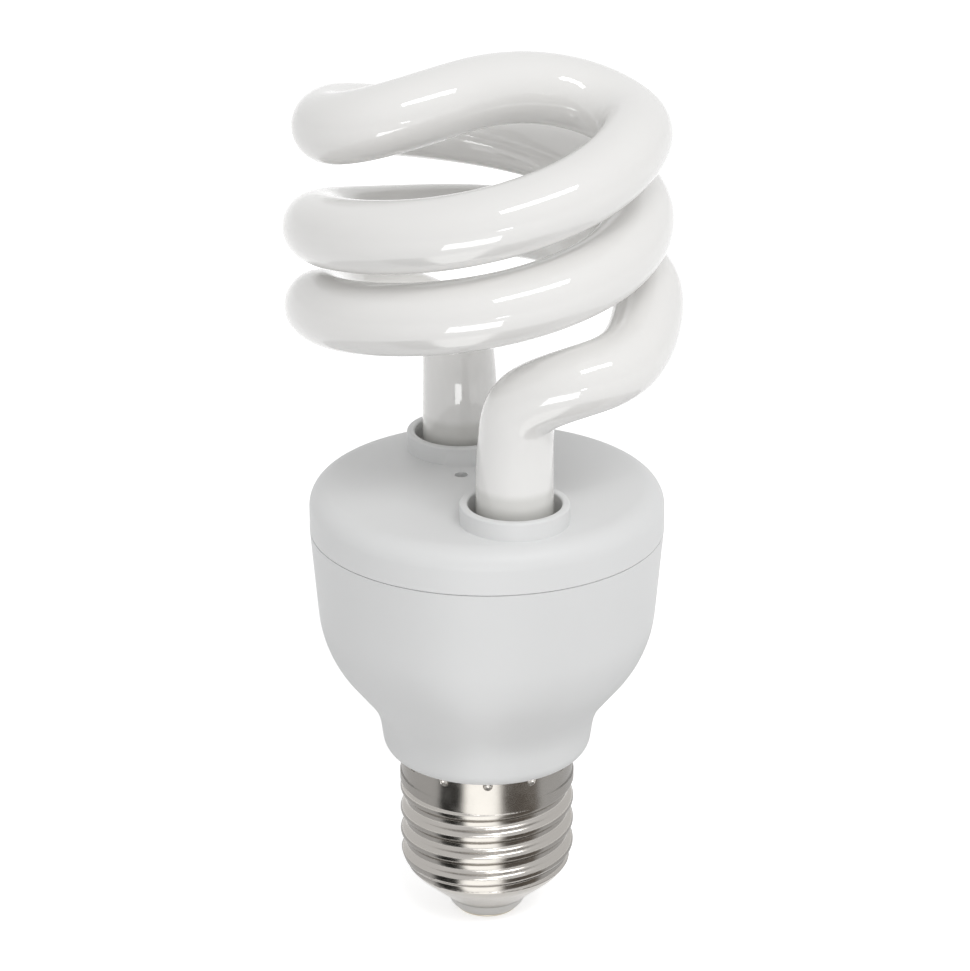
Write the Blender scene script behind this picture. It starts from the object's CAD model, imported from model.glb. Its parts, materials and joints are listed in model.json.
# %% [markdown]
# A spiral fluorescent lamp on a screw cap, dressed for its picture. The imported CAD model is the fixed
# frame: it gives every part's place in metres, with the lamp standing on its contact at the origin and +Z
# up. The glass tube is made anew here as one smooth piece, because the CAD mesh is loose flat triangles
# that glossy glass would show. The mouldings and the cap are merged copies with smooth shading, and the
# parts inside the housing keep their CAD meshes and get finishes.

import json
from math import cos, radians, sin

import bmesh
import bpy
from mathutils import Matrix, Vector


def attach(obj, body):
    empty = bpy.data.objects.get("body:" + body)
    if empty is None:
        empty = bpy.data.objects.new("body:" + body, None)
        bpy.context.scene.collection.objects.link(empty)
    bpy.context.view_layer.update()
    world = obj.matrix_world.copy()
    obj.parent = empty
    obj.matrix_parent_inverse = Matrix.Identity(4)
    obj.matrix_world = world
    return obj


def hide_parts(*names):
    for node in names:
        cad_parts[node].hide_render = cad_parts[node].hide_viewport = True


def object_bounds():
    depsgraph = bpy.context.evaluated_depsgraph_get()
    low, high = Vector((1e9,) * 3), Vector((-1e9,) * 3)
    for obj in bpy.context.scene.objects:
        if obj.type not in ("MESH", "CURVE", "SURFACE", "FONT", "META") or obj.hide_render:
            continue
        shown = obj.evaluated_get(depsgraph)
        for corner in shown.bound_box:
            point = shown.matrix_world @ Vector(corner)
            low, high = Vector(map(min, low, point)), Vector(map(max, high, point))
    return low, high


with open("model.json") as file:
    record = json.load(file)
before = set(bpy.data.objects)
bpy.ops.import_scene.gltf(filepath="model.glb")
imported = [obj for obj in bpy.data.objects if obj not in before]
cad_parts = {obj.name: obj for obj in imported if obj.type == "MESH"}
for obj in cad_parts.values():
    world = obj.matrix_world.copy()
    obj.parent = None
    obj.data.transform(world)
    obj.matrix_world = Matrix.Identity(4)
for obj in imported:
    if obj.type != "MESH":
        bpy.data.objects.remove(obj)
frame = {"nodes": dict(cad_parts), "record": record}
nodes = frame["nodes"]
cad_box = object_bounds()
scene = bpy.context.scene
mm = 0.001

# %% [markdown]
# The camera stands where the photographer stood: a long lens from 0.6 m away, a little above the lamp and
# 15.6 degrees to the left of the line through the two legs. Its backward direction is a unit vector from
# azimuth and elevation, and a track quaternion turns the camera's own +Z along it. The small shift is the
# lens's centre, which isn't quite at the picture's.

# %% Camera
view_azimuth = radians(-15.6)
view_elevation = radians(22.33)
aim = Vector((0.0, 0.0, 0.0692))
stand_off = 0.5964
backward = Vector((
    sin(view_azimuth) * cos(view_elevation),
    -cos(view_azimuth) * cos(view_elevation),
    sin(view_elevation),
))
camera = bpy.data.objects.new("camera", bpy.data.cameras.new("camera"))
camera.data.lens = 150.38
camera.data.sensor_width = 36.0
camera.data.shift_x = -0.00196
camera.data.clip_start = 0.01
camera.location = aim + stand_off * backward
camera.rotation_mode = "QUATERNION"
camera.rotation_quaternion = backward.to_track_quat("Z", "Y")
scene.collection.objects.link(camera)
scene.camera = camera
print("camera at", [round(c / mm, 1) for c in camera.location])

# %% [markdown]
# The studio is a white table under a white sky. Where Light Path says that a ray comes from the camera,
# or from a reflection or a refraction, the sky is pure white, so metal and glass show it too. The light
# that falls on the lamp itself stays lower.

# %% World
def seen_ray(tree):
    """Socket that is 1 for camera, glossy and transmission rays, and 0 for the light on the lamp."""
    light_path = tree.nodes.new("ShaderNodeLightPath")
    mirrored = tree.nodes.new("ShaderNodeMath")
    mirrored.operation = "MAXIMUM"
    tree.links.new(light_path.outputs["Is Glossy Ray"], mirrored.inputs[0])
    tree.links.new(light_path.outputs["Is Transmission Ray"], mirrored.inputs[1])
    seen = tree.nodes.new("ShaderNodeMath")
    seen.operation = "MAXIMUM"
    tree.links.new(light_path.outputs["Is Camera Ray"], seen.inputs[0])
    tree.links.new(mirrored.outputs[0], seen.inputs[1])
    return seen.outputs[0]


world = bpy.data.worlds.new("white_studio")
scene.world = world
world.use_nodes = True
sky_on_lamp = 0.60
sky_seen = 1.0
tree = world.node_tree
background = tree.nodes["Background"]
background.inputs["Color"].default_value = (1, 1, 1, 1)
level = tree.nodes.new("ShaderNodeMapRange")
level.inputs["To Min"].default_value = sky_on_lamp
level.inputs["To Max"].default_value = sky_seen
tree.links.new(seen_ray(tree), level.inputs["Value"])
tree.links.new(level.outputs["Result"], background.inputs["Strength"])
print("sky strength", sky_on_lamp, "on the lamp and", sky_seen, "where it is seen")

# %% [markdown]
# The table top is one sheet of white paper a hair below the contact, lifted to pure white where it is
# seen, so it keeps only the lamp's shadow. Its back face is clear, so that a view from below still shows
# the cap's foot.

# %% Floor
table_reach = 3.0
hair_gap = 0.02 * mm
paper_lift = 0.55
floor_mesh = bpy.data.meshes.new("table_top")
bm = bmesh.new()
bmesh.ops.create_grid(bm, x_segments=1, y_segments=1, size=table_reach)
bmesh.ops.translate(bm, verts=bm.verts, vec=(0, 0, cad_box[0].z - hair_gap))
bm.to_mesh(floor_mesh)
bm.free()
floor = bpy.data.objects.new("table_top", floor_mesh)
scene.collection.objects.link(floor)
paper = bpy.data.materials.new("white_paper")
paper.use_nodes = True
tree = paper.node_tree
shader = tree.nodes["Principled BSDF"]
shader.inputs["Base Color"].default_value = (0.86, 0.86, 0.86, 1)
shader.inputs["Roughness"].default_value = 0.9
shader.inputs["Emission Color"].default_value = (1, 1, 1, 1)
lift = tree.nodes.new("ShaderNodeMath")
lift.operation = "MULTIPLY"
lift.inputs[1].default_value = paper_lift
tree.links.new(seen_ray(tree), lift.inputs[0])
tree.links.new(lift.outputs[0], shader.inputs["Emission Strength"])
face = tree.nodes.new("ShaderNodeNewGeometry")
clear = tree.nodes.new("ShaderNodeBsdfTransparent")
one_sided = tree.nodes.new("ShaderNodeMixShader")
tree.links.new(face.outputs["Backfacing"], one_sided.inputs["Fac"])
tree.links.new(shader.outputs["BSDF"], one_sided.inputs[1])
tree.links.new(clear.outputs["BSDF"], one_sided.inputs[2])
tree.links.new(one_sided.outputs["Shader"], tree.nodes["Material Output"].inputs["Surface"])
floor.data.materials.append(paper)
print("table top at z", round(floor_mesh.vertices[0].co.z / mm, 2), "mm")

# %% [markdown]
# Three soft lamps make the highlights that the photograph has on each turn: a wide box high on the right,
# a faint panel close in front, and a small box between them. Each is an area lamp placed by direction, as
# seen from the middle of the coil, and it is hidden from the camera but not from reflections. The near
# panel gives its reflection only, because its light would burn out the legs.

# %% Lamps
coil_middle = Vector((0, 0, 0.110))


def soft_lamp(name, turn, rise, away, width, height, power):
    """Area lamp around the coil's middle, turned to the right of the camera and risen above the horizon.

    Both angles are in degrees, the distance and the lamp's size in metres, and the power in watts.
    """
    angle = view_azimuth + radians(turn)
    height_angle = radians(rise)
    towards = Vector((sin(angle) * cos(height_angle), -cos(angle) * cos(height_angle), sin(height_angle)))
    light = bpy.data.lights.new(name, "AREA")
    light.shape = "RECTANGLE"
    light.size = width
    light.size_y = height
    light.energy = power
    lamp = bpy.data.objects.new(name, light)
    lamp.location = coil_middle + away * towards
    lamp.rotation_mode = "QUATERNION"
    lamp.rotation_quaternion = towards.to_track_quat("Z", "Y")
    lamp.visible_camera = False
    scene.collection.objects.link(lamp)
    return lamp


soft_lamp("high_box", 25, 49, 1.1, 0.74, 0.20, 4.4)
front_panel = soft_lamp("front_panel", -2, -22.5, 0.141, 0.070, 0.036, 0.036)
front_panel.visible_diffuse = False
soft_lamp("small_box", 12, -6, 0.9, 0.12, 0.07, 0.18)

# %% [markdown]
# Polished metal shows its surroundings, and in the photograph the cap has a bright streak between two
# dark ones. A photographer gets that with cards on the table, laid around the lamp's foot. One ring of
# card does it here: a radial gradient gives the direction, and a colour ramp makes it bright in front,
# dark on both sides of that and pale all around. It shows in reflections alone, and the camera and the
# soft light pass it by.

# %% Ring of card
ring_inner = 16 * mm
ring_outer = 105 * mm
ring_z = 0.3 * mm
ring_segments = 72
ring_strength = 2.2
card_tones = (
    (-74.4, (0.30, 0.30, 0.30)),
    (-64.0, (0.30, 0.30, 0.30)),
    (-54.0, (0.010, 0.010, 0.009)),
    (-33.0, (0.010, 0.010, 0.009)),
    (-22.0, (1.0, 1.0, 0.98)),
    (10.0, (1.0, 1.0, 0.98)),
    (22.0, (0.055, 0.048, 0.042)),
    (58.0, (0.09, 0.08, 0.07)),
    (72.0, (0.30, 0.30, 0.30)),
)
card = bpy.data.materials.new("card_ring")
card.use_nodes = True
tree = card.node_tree
shader = tree.nodes["Principled BSDF"]
shader.inputs["Base Color"].default_value = (0, 0, 0, 1)
shader.inputs["Specular IOR Level"].default_value = 0.0
shader.inputs["Emission Strength"].default_value = ring_strength
place = tree.nodes.new("ShaderNodeTexCoord")
direction = tree.nodes.new("ShaderNodeTexGradient")
direction.gradient_type = "RADIAL"
tones = tree.nodes.new("ShaderNodeValToRGB")
tones.color_ramp.interpolation = "EASE"
for _ in card_tones[2:]:
    tones.color_ramp.elements.new(0.5)
for i, (turn, tone) in enumerate(card_tones):
    tones.color_ramp.elements[i].position = (turn - card_tones[0][0]) / 360
    tones.color_ramp.elements[i].color = (*tone, 1)
tree.links.new(place.outputs["Object"], direction.inputs["Vector"])
tree.links.new(direction.outputs["Fac"], tones.inputs["Fac"])
tree.links.new(tones.outputs["Color"], shader.inputs["Emission Color"])
bm = bmesh.new()
inner_edge = bm.verts.new((ring_inner, 0, ring_z))
outer_edge = bm.verts.new((ring_outer, 0, ring_z))
edge = bm.edges.new((inner_edge, outer_edge))
bmesh.ops.spin(
    bm, geom=[inner_edge, outer_edge, edge], cent=(0, 0, 0), axis=(0, 0, 1), angle=radians(360),
    steps=ring_segments, use_merge=True,
)
mesh = bpy.data.meshes.new("card_ring")
bm.to_mesh(mesh)
bm.free()
mesh.materials.append(card)
card_ring = bpy.data.objects.new("card_ring", mesh)
scene.collection.objects.link(card_ring)
card_ring.visible_camera = False
card_ring.visible_diffuse = False
card_ring.visible_shadow = False
print("card_ring", len(mesh.polygons), "faces")

# %% [markdown]
# Two effects are shared by nearly every finish, so each is a node group. Surface grain turns noise on
# Object coordinates into a small bump and a varying roughness. Tone drift mixes two near colours in slow
# clouds, since no real surface has one even tone. Shaders stay out of the groups, because the export
# can't read them there.


# %% Node groups
def new_group(name, numbers, colours, outputs):
    """Empty shader group with named sockets, and its input and output nodes."""
    group = bpy.data.node_groups.new(name, "ShaderNodeTree")
    for label, value in numbers.items():
        socket = group.interface.new_socket(label, in_out="INPUT", socket_type="NodeSocketFloat")
        socket.default_value = value
    for label in colours:
        group.interface.new_socket(label, in_out="INPUT", socket_type="NodeSocketColor")
    for label, kind in outputs.items():
        group.interface.new_socket(label, in_out="OUTPUT", socket_type=kind)
    return group, group.nodes.new("NodeGroupInput"), group.nodes.new("NodeGroupOutput")


grain_group, entry, leave = new_group(
    "surface_grain",
    {"Scale": 900.0, "Smoothest": 0.3, "Roughest": 0.4, "Depth": 0.1},
    [],
    {"Roughness": "NodeSocketFloat", "Normal": "NodeSocketVector"},
)
place = grain_group.nodes.new("ShaderNodeTexCoord")
noise = grain_group.nodes.new("ShaderNodeTexNoise")
noise.inputs["Detail"].default_value = 3.0
ramp = grain_group.nodes.new("ShaderNodeMapRange")
ramp.inputs["From Min"].default_value = 0.3
ramp.inputs["From Max"].default_value = 0.7
bump = grain_group.nodes.new("ShaderNodeBump")
bump.inputs["Distance"].default_value = 0.05 * mm
links = grain_group.links
links.new(place.outputs["Object"], noise.inputs["Vector"])
links.new(entry.outputs["Scale"], noise.inputs["Scale"])
links.new(noise.outputs["Fac"], ramp.inputs["Value"])
links.new(entry.outputs["Smoothest"], ramp.inputs["To Min"])
links.new(entry.outputs["Roughest"], ramp.inputs["To Max"])
links.new(noise.outputs["Fac"], bump.inputs["Height"])
links.new(entry.outputs["Depth"], bump.inputs["Strength"])
links.new(ramp.outputs["Result"], leave.inputs["Roughness"])
links.new(bump.outputs["Normal"], leave.inputs["Normal"])

drift_group, entry, leave = new_group(
    "tone_drift", {"Scale": 60.0}, ["Light", "Dark"], {"Color": "NodeSocketColor"}
)
place = drift_group.nodes.new("ShaderNodeTexCoord")
noise = drift_group.nodes.new("ShaderNodeTexNoise")
blend = drift_group.nodes.new("ShaderNodeMix")
blend.data_type = "RGBA"
links = drift_group.links
links.new(place.outputs["Object"], noise.inputs["Vector"])
links.new(entry.outputs["Scale"], noise.inputs["Scale"])
links.new(noise.outputs["Fac"], blend.inputs["Factor"])
links.new(entry.outputs["Light"], blend.inputs["A"])
links.new(entry.outputs["Dark"], blend.inputs["B"])
links.new(blend.outputs["Result"], leave.inputs["Color"])
print("groups", [g.name for g in bpy.data.node_groups])


# %% [markdown]
# One helper builds the usual finish: the Principled shader, its two groups with their own values, and
# what is even all over set on the shader's sockets.


# %% Finish helper
def finish(name, light, dark, smoothest, roughest, grain=900.0, depth=0.1, drift=60.0, **even):
    """Material with drifting tone and grained surface; even values go straight to the shader's sockets."""
    material = bpy.data.materials.new(name)
    material.use_nodes = True
    tree = material.node_tree
    shader = tree.nodes["Principled BSDF"]
    tone = tree.nodes.new("ShaderNodeGroup")
    tone.node_tree = drift_group
    tone.inputs["Scale"].default_value = drift
    tone.inputs["Light"].default_value = (*light, 1)
    tone.inputs["Dark"].default_value = (*dark, 1)
    surface = tree.nodes.new("ShaderNodeGroup")
    surface.node_tree = grain_group
    surface.inputs["Scale"].default_value = grain
    surface.inputs["Smoothest"].default_value = smoothest
    surface.inputs["Roughest"].default_value = roughest
    surface.inputs["Depth"].default_value = depth
    tree.links.new(tone.outputs["Color"], shader.inputs["Base Color"])
    tree.links.new(surface.outputs["Roughness"], shader.inputs["Roughness"])
    tree.links.new(surface.outputs["Normal"], shader.inputs["Normal"])
    for label, value in even.items():
        shader.inputs[label.replace("_", " ")].default_value = value
    return material


# %% [markdown]
# The phosphor is a milky powder inside the clear glass, so the tube is a soft white under a clear gloss
# coat. The coating stops a little above the collars, where the bare glass lets the dim inside through. A
# map range on the height makes that band.

# %% Glass finish
bare_top_z = 74.6 * mm
coat_start_z = 76.0 * mm
coated_glass = finish(
    "coated_glass", (0.87, 0.865, 0.85), (0.85, 0.84, 0.825), 0.5, 0.6, grain=260.0, depth=0.03,
    Specular_IOR_Level=0.2, Coat_Weight=1.0, Coat_Roughness=0.0, Coat_IOR=1.7,
)
tree = coated_glass.node_tree
shader = tree.nodes["Principled BSDF"]
tone = shader.inputs["Base Color"].links[0].from_node
place = tree.nodes.new("ShaderNodeTexCoord")
height = tree.nodes.new("ShaderNodeSeparateXYZ")
edge = tree.nodes.new("ShaderNodeMapRange")
edge.interpolation_type = "SMOOTHSTEP"
edge.inputs["From Min"].default_value = bare_top_z
edge.inputs["From Max"].default_value = coat_start_z
bare = tree.nodes.new("ShaderNodeMix")
bare.data_type = "RGBA"
bare.inputs["A"].default_value = (0.70, 0.695, 0.67, 1)
tree.links.new(place.outputs["Object"], height.inputs["Vector"])
tree.links.new(height.outputs["Z"], edge.inputs["Value"])
tree.links.new(edge.outputs["Result"], bare.inputs["Factor"])
tree.links.new(tone.outputs["Color"], bare.inputs["B"])
tree.links.new(bare.outputs["Result"], shader.inputs["Base Color"])
print("glass is bare below", round(bare_top_z / mm, 1), "mm")

# %% [markdown]
# The mouldings are a slightly satin white plastic with a very fine grain. The cap is nickel plate, a
# metal a little rougher than a mirror, so that the ring's tones run softly into each other. The insulator
# and the contact's metal follow the same way.

# %% Plastic and metal finishes
white_plastic = finish(
    "white_plastic", (0.80, 0.805, 0.805), (0.78, 0.785, 0.785), 0.42, 0.5, grain=2600.0, depth=0.1,
    Specular_IOR_Level=0.4,
)
nickel_plate = finish(
    "nickel_plate", (0.47, 0.45, 0.425), (0.42, 0.40, 0.375), 0.17, 0.25, grain=500.0, depth=0.04,
    Metallic=1.0,
)
insulator = finish("insulator", (0.76, 0.75, 0.73), (0.70, 0.69, 0.67), 0.3, 0.42, grain=1500.0)
contact_metal = finish("contact_metal", (0.66, 0.62, 0.53), (0.55, 0.51, 0.43), 0.25, 0.38, Metallic=1.0)
print("outer finishes", [m.name for m in (white_plastic, nickel_plate, insulator, contact_metal)])

# %% [markdown]
# The parts inside the housing aren't seen until it is opened, and each still gets its own finish: brown
# paper board, black and coloured cases, copper, ferrite and tinned wire.

# %% Finishes inside
finishes = {
    "board": finish("board", (0.50, 0.36, 0.17), (0.44, 0.31, 0.14), 0.45, 0.6, grain=1800.0, depth=0.2),
    "capacitor_sleeve": finish("capacitor_sleeve", (0.02, 0.025, 0.04), (0.03, 0.035, 0.05), 0.25, 0.35),
    "ferrite": finish("ferrite", (0.035, 0.035, 0.04), (0.055, 0.055, 0.06), 0.5, 0.7, depth=0.3),
    "bobbin_plastic": finish("bobbin_plastic", (0.02, 0.02, 0.02), (0.03, 0.03, 0.03), 0.4, 0.55),
    "winding_copper": finish(
        "winding_copper", (0.62, 0.24, 0.10), (0.5, 0.18, 0.07), 0.25, 0.4, Metallic=0.8,
    ),
    "toroid_green": finish("toroid_green", (0.03, 0.15, 0.07), (0.02, 0.11, 0.05), 0.35, 0.5),
    "wire_enamel": finish("wire_enamel", (0.55, 0.04, 0.03), (0.45, 0.03, 0.02), 0.2, 0.3),
    "moulded_black": finish("moulded_black", (0.02, 0.02, 0.02), (0.03, 0.03, 0.03), 0.5, 0.65, depth=0.3),
    "film_red": finish("film_red", (0.32, 0.04, 0.02), (0.26, 0.03, 0.015), 0.15, 0.25),
    "film_green": finish("film_green", (0.04, 0.14, 0.05), (0.03, 0.11, 0.04), 0.15, 0.25),
    "disc_brown": finish("disc_brown", (0.30, 0.12, 0.03), (0.25, 0.1, 0.025), 0.4, 0.55),
    "disc_blue": finish("disc_blue", (0.02, 0.06, 0.26), (0.015, 0.05, 0.2), 0.3, 0.45),
    "resistor_body": finish("resistor_body", (0.52, 0.4, 0.2), (0.46, 0.35, 0.17), 0.35, 0.5),
    "diode_glass": finish("diode_glass", (0.35, 0.07, 0.02), (0.3, 0.05, 0.015), 0.08, 0.15),
    "tinned_wire": finish("tinned_wire", (0.7, 0.7, 0.68), (0.6, 0.6, 0.58), 0.25, 0.4, Metallic=1.0),
    "sleeve_fibre": finish("sleeve_fibre", (0.68, 0.62, 0.45), (0.6, 0.54, 0.38), 0.7, 0.85, depth=0.4),
    "cement": finish("cement", (0.58, 0.55, 0.47), (0.5, 0.47, 0.4), 0.75, 0.9, depth=0.5),
    "insulator": insulator,
    "contact_metal": contact_metal,
    "white_plastic": white_plastic,
    "nickel_plate": nickel_plate,
    "coated_glass": coated_glass,
}
for part in frame["record"]["subparts"]:
    node = nodes[part["node"]]
    node.data.materials.clear()
    node.data.materials.append(finishes[part["material_slot"]])
print("finished", len(nodes), "nodes")


# %% [markdown]
# A CAD node's mesh is loose triangles. A merged copy joins them, is shaded smooth and keeps its real
# corners as sharp edges, and on all but the cap a weighted normal holds the flat faces flat next to their
# rounded edges.


# %% Merged copies
weld = 0.002 * mm
moulded_corner = 28  # degrees
thread_corner = 38  # degrees


def smooth_copy(name, node, slot, corner):
    """Merged copy of a CAD node, shaded smooth but for corners sharper than an angle in degrees."""
    bm = bmesh.new()
    bm.from_mesh(nodes[node].data)
    bmesh.ops.remove_doubles(bm, verts=bm.verts, dist=weld)
    for face in bm.faces:
        face.smooth = True
    mesh = bpy.data.meshes.new(name)
    bm.to_mesh(mesh)
    bm.free()
    mesh.set_sharp_from_angle(angle=radians(corner))
    piece = bpy.data.objects.new(name, mesh)
    scene.collection.objects.link(piece)
    mesh.materials.clear()
    mesh.materials.append(finishes[slot])
    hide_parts(node)
    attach(piece, "root")
    print(name, len(mesh.polygons), "faces")
    return piece


def hold_flats(piece):
    """Weighted normals keep the flat faces flat next to their rounded edges."""
    weighted = piece.modifiers.new("weighted_normal", "WEIGHTED_NORMAL")
    weighted.keep_sharp = True


for name, node, slot in (
    ("housing_moulding", "ballast_housing", "white_plastic"),
    ("cover_moulding", "tube_cover", "white_plastic"),
    ("insulator_plug", "cap_insulator", "insulator"),
    ("contact_button", "centre_contact", "contact_metal"),
):
    hold_flats(smooth_copy(name, node, slot, moulded_corner))
smooth_copy("thread_shell", "screw_shell", "nickel_plate", thread_corner)

# %% [markdown]
# The cap's plain band and the side of the cover are true cylinders, and their long triangles only come
# near to one, which a gloss shows. So the corners on such a wall get the cylinder's own normals, straight
# out from the axis. The narrow slope at the band's foot gets them too, because rolled sheet has no crisp
# corner there.


# %% Round walls
wall_slack = 0.12  # millimetres


def true_wall(name, wall_r, low_z, high_z, steepest):
    """Straight outward normals on a piece's round wall, after its modifier is applied.

    The wall is given in millimetres, and faces steeper to it than an angle in degrees are left alone.
    """
    piece = bpy.data.objects[name]
    bpy.context.view_layer.update()
    mesh = bpy.data.meshes.new_from_object(piece.evaluated_get(bpy.context.evaluated_depsgraph_get()))
    normals = [Vector(corner.vector) for corner in mesh.corner_normals]
    trued = 0
    for face in mesh.polygons:
        if face.normal.angle(Vector((face.center.x, face.center.y, 0))) > radians(steepest):
            continue
        for corner in face.loop_indices:
            place = mesh.vertices[mesh.loops[corner].vertex_index].co
            outward = Vector((place.x, place.y, 0))
            on_wall = abs(outward.length / mm - wall_r) < wall_slack
            if on_wall and low_z < place.z / mm < high_z:
                normals[corner] = outward.normalized()
                trued += 1
    mesh.normals_split_custom_set(normals)
    piece.modifiers.clear()
    piece.data = mesh
    print(name, "corners with true normals", trued)


true_wall("thread_shell", wall_r=13.03, low_z=21.8, high_z=27.0, steepest=50)
true_wall("cover_moulding", wall_r=26.15, low_z=63.0, high_z=66.6, steepest=6)

# %% [markdown]
# The glass tube is one long tube bent hot over a former: up a leg, around it and up in a right-handed
# spiral, across the crown in an S, and down the other strand. A NURBS curve through a few corners of that
# route gives the smoothest line, and a round bevel gives it the tube's section, wider in the legs. The
# corners repeat the CAD route: polar places around the lamp's axis, in millimetres and degrees. The coil
# leans a little to one side of its legs, and each strand strays from the true spiral as the glass maker's
# hand did.

# %% Route of the tube
tube_r = 5.16
leg_r = 5.65
leg_spread = 14.9
pinch_start_z = 65.5
coil_r = 23.03
coil_start_turn = 74.0
coil_start_z = 98.31
coil_lead = 23.1
first_bulge = 1.42
bulge_end = 60.0
crown_lift = 4.5
lift_start = 180.0
lean = radians(1.2)
lean_towards = radians(164.4)
lean_z = 83.9
spline_swell = 1.005
coil_corners = 18
corner_turn = 20.0
seam_weld = 0.001 * mm
leg_foot = [(leg_spread, z, leg_r) for z in (pinch_start_z, 70.0, 75.0)]
leg_top = [(leg_spread, 80.0, 5.6), (15.5, 83.5, 5.4), (16.2, 87.0, 5.25)]
entry_bend = [(18.0, 7.0, 89.7), (23.4, 22.5, 92.6), (25.0, 43.6, 93.0)]
crown_bend = [(22.6, 434.0, 124.14), (18.0, 450.5, 126.1), (13.2, 460.0, 127.7), (7.0, 468.0, 129.0)]
bridge_z = 129.6
stray_turns = (60.0, 120.0, 200.0, 280.0, 360.0, 430.0)
front_swell = (0.0, -1.01, -1.0, 1.42, 0.63, 0.0)
front_rise = (0.0, 0.15, -1.81, 0.91, 0.37, 0.0)
back_swell = (0.0, 0.07, -0.73, -0.29, 0.46, 0.0)
back_rise = (0.0, 0.33, 0.14, 0.49, -0.61, 0.0)


def around(radius, angle, height):
    """Point at a radius and an angle in degrees about the lamp's axis, in millimetres."""
    return Vector((radius * cos(radians(angle)), radius * sin(radians(angle)), height))


def leaned(point):
    """Tips a point of the coil by the lean."""
    hinge = Vector((0, 0, lean_z))
    axis = Vector((-sin(lean_towards), cos(lean_towards), 0))
    return Matrix.Rotation(lean, 3, axis) @ (point - hinge) + hinge


def strayed(amounts, turn):
    """How far a strand strays at a turn, eased from one stated turn to the next."""
    for turn_before, turn_after, before, after in zip(stray_turns, stray_turns[1:], amounts, amounts[1:]):
        if turn_before <= turn < turn_after:
            share = (turn - turn_before) / (turn_after - turn_before)
            return before + (after - before) * share * share * (3 - 2 * share)
    return 0.0


def strand(leg_angle, swell, rise):
    """Corners of one strand with the tube's radius at each, from the leg's pinch to the bridge."""
    corners = [(around(r, leg_angle, z), radius) for r, z, radius in leg_foot + leg_top]
    coil = list(entry_bend)
    for i in range(coil_corners):
        run = corner_turn * i
        turn = coil_start_turn + run
        radius = coil_r + first_bulge * max(0.0, 1 - run / bulge_end) + strayed(swell, turn)
        lift = crown_lift * max(0.0, run / lift_start - 1) ** 2
        height = coil_start_z + coil_lead * run / 360 + lift + strayed(rise, turn)
        coil.append((spline_swell * radius, turn, height))
    coil += crown_bend
    return corners + [(leaned(around(r, leg_angle + turn, z)), tube_r) for r, turn, z in coil]


route = strand(-90, front_swell, front_rise)
route += [(leaned(Vector((0, 0, bridge_z))), tube_r)]
route += strand(90, back_swell, back_rise)[::-1]
line = bpy.data.curves.new("tube_line", "CURVE")
line.dimensions = "3D"
line.resolution_u = 8
line.bevel_depth = mm
line.bevel_resolution = 10
line.use_fill_caps = False
spline = line.splines.new("NURBS")
spline.points.add(len(route) - 1)
for knot, (place, radius) in zip(spline.points, route):
    knot.co = (*(place * mm), 1)
    knot.radius = radius
spline.use_endpoint_u = True
spline.order_u = 4
print("tube_line", len(route), "corners")

# %% [markdown]
# The curve becomes a mesh, and its two open ends are pinched by extruding the rim in steps: flattened
# around the leads, then drawn into the short exhaust tip. They sit inside the housing, as on the real
# lamp. Each step is a height, a half width and a half thickness in millimetres.

# %% Glass tube
holder = bpy.data.objects.new("tube_line", line)
scene.collection.objects.link(holder)
bpy.context.view_layer.update()
mesh = bpy.data.meshes.new_from_object(holder.evaluated_get(bpy.context.evaluated_depsgraph_get()))
bpy.data.objects.remove(holder)
bm = bmesh.new()
bm.from_mesh(mesh)
bmesh.ops.remove_doubles(bm, verts=bm.verts, dist=seam_weld)
pinch_steps = (
    (63.5, 5.63, 3.4),
    (61.5, 5.6, 1.7),
    (57.5, 5.6, 1.7),
    (57.4, 1.4, 1.4),
    (53.6, 1.4, 1.4),
    (53.1, 0.9, 0.9),
)
for side in (-1, 1):
    middle = Vector((0, side * leg_spread * mm, 0))
    rim = [e for e in bm.edges if e.is_boundary and (e.verts[0].co.y > 0) == (side > 0)]
    ring_w = leg_r
    ring_t = leg_r
    for z, half_w, half_t in pinch_steps:
        grown = bmesh.ops.extrude_edge_only(bm, edges=rim)["geom"]
        ring = [v for v in grown if isinstance(v, bmesh.types.BMVert)]
        rim = [e for e in grown if isinstance(e, bmesh.types.BMEdge) and all(v in ring for v in e.verts)]
        for v in ring:
            v.co.x *= half_w / ring_w
            v.co.y = middle.y + (v.co.y - middle.y) * half_t / ring_t
            v.co.z = z * mm
        ring_w = half_w
        ring_t = half_t
    bmesh.ops.contextual_create(bm, geom=rim)
bmesh.ops.recalc_face_normals(bm, faces=bm.faces)
for face in bm.faces:
    face.smooth = True
bm.to_mesh(mesh)
bm.free()
mesh.name = "glass_tube"
mesh.materials.clear()
mesh.materials.append(coated_glass)
glass_tube = bpy.data.objects.new("glass_tube", mesh)
scene.collection.objects.link(glass_tube)
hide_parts("discharge_tube")
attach(glass_tube, "root")
print("glass_tube", len(mesh.polygons), "faces")

# %% [markdown]
# The Standard view shows colours as they are written. The last cell also keeps two boxes, the CAD model's
# and the dressed lamp's, so that they can be compared after each render: dressing must not change the
# lamp's size.

# %% Colour management and sizes
scene.view_settings.view_transform = "Standard"
